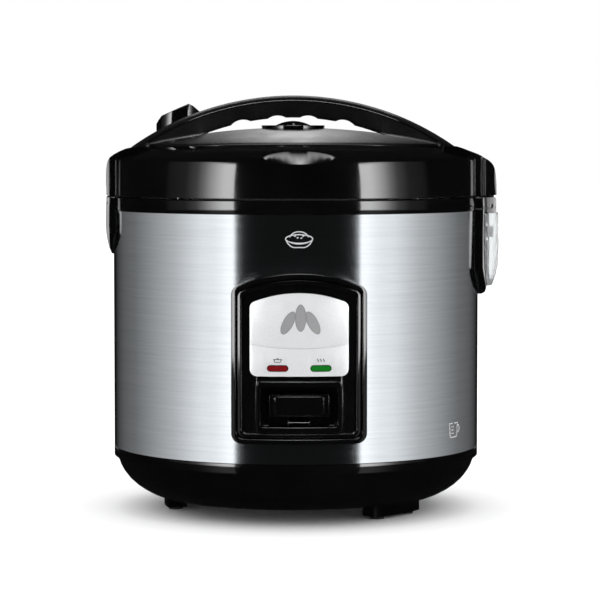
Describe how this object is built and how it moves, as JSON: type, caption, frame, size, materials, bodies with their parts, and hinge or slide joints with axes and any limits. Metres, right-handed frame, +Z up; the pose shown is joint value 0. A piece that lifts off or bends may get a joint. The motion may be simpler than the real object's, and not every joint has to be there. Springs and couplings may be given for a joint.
{
  "type": "rice cooker",
  "caption": "Round electric rice cooker with a steel body, black hinged lid with arched handle, steam vent, dew collector, control panel with lamps and lever, and an inner pot.",
  "frame": {"origin": "on the pot's axis, in the plane the rubber foot pads rest on", "axes": "+Z up, -Y towards the control panel, +X towards the lid's hinge"},
  "size_m": [0.2851, 0.2731, 0.2982],
  "materials": {
    "black_gloss": "high gloss moulded",
    "black_satin": "satin moulded",
    "brushed_body": "brushed round the body",
    "rubber": "matte ribbed",
    "silicone": "matte",
    "sheet_steel": "pressed sheet",
    "screw_steel": "bright",
    "cast_aluminium": "satin",
    "element_steel": "dull",
    "heater_band": "woven glass sleeve",
    "badge_silver": "satin silver",
    "red_lamp": "translucent gloss",
    "green_lamp": "translucent gloss",
    "dark_plastic": "satin",
    "grey_plastic": "satin",
    "clear_plastic": "clear moulded",
    "fuse_ceramic": "glazed",
    "wire_sleeve": "woven sleeve",
    "pin_brass": "plated"
  },
  "bodies": {
    "cooker": {"base": "black_gloss", "foot_pads": "rubber", "bottom_cover": "sheet_steel", "cover_screws": "screw_steel", "body_shell": "brushed_body", "rim_ring": "black_gloss", "liner": "sheet_steel", "keep_warm_band": "heater_band", "heating_plate": "cast_aluminium", "heating_element": "element_steel", "plate_legs": "sheet_steel", "leg_screws": "screw_steel", "thermostat_spring": "screw_steel", "magnet_housing": "sheet_steel", "switch_bracket": "sheet_steel", "micro_switch": "dark_plastic", "thermal_fuse": "fuse_ceramic", "fuse_clip": "sheet_steel", "lever_pin": "screw_steel", "panel": "black_gloss", "badge": "badge_silver", "red_lens": "red_lamp", "green_lens": "green_lamp", "lamp_holder": "grey_plastic", "power_inlet": "dark_plastic", "inlet_pins": "pin_brass", "wiring": "wire_sleeve", "inner_pot": "cast_aluminium", "latch_bracket": "black_gloss", "release_pin": "screw_steel", "release_spring": "screw_steel", "hinge_bracket": "black_gloss", "hinge_pin": "screw_steel", "hinge_spring": "screw_steel", "collector_clip": "grey_plastic"},
    "thermostat": {"thermostat_cup": "sheet_steel"},
    "magnet": {"magnet_rod": "element_steel"},
    "cooking_lever": {"cook_lever": "sheet_steel", "lever_paddle": "black_gloss"},
    "latch": {"release_lever": "black_gloss"},
    "collector": {"dew_collector": "clear_plastic"},
    "lid": {"lid_shell": "black_gloss", "lid_liner": "dark_plastic", "liner_screws": "screw_steel", "inner_lid": "sheet_steel", "lid_gasket": "silicone", "lid_knob": "dark_plastic", "handle": "black_satin", "centre_cap": "black_gloss"},
    "vent": {"vent_cap": "black_gloss", "vent_seal": "silicone"}
  },
  "joints": [
    {"name": "lid_hinge", "type": "hinge", "parent": "cooker", "child": "lid", "pos_m": [0.1396, 0, 0.219], "axis": [0, 1, 0], "range_deg": [0, 79]},
    {"name": "vent_lift", "type": "slide", "parent": "lid", "child": "vent", "axis": [0, 0, 1], "range_m": [0, 0.03]},
    {"name": "latch_release", "type": "hinge", "parent": "cooker", "child": "latch", "pos_m": [-0.129, 0, 0.207], "axis": [0, -1, 0], "range_deg": [0, 5], "stiffness_Nm_per_rad": 0.6, "springref_deg": -11.46},
    {"name": "collector_pull", "type": "slide", "parent": "cooker", "child": "collector", "axis": [1, 0, 0], "range_m": [0, 0.03]},
    {"name": "cook_press", "type": "hinge", "parent": "cooker", "child": "cooking_lever", "pos_m": [0, -0.07, 0.08], "axis": [1, 0, 0], "range_deg": [0, 5], "stiffness_Nm_per_rad": 0.8, "springref_deg": -8.59},
    {"name": "magnet_lift", "type": "slide", "parent": "cooker", "child": "magnet", "axis": [0, 0, 1], "range_m": [0, 0.0065]},
    {"name": "thermostat_press", "type": "slide", "parent": "cooker", "child": "thermostat", "axis": [0, 0, 1], "range_m": [-0.003, 0], "stiffness_N_per_m": 500, "springref_m": 0.002, "deforming": ["thermostat_spring"]}
  ],
  "couplings": [
    {"joint": "magnet_lift", "follows": "cook_press", "m_per_rad": 0.07}
  ]
}
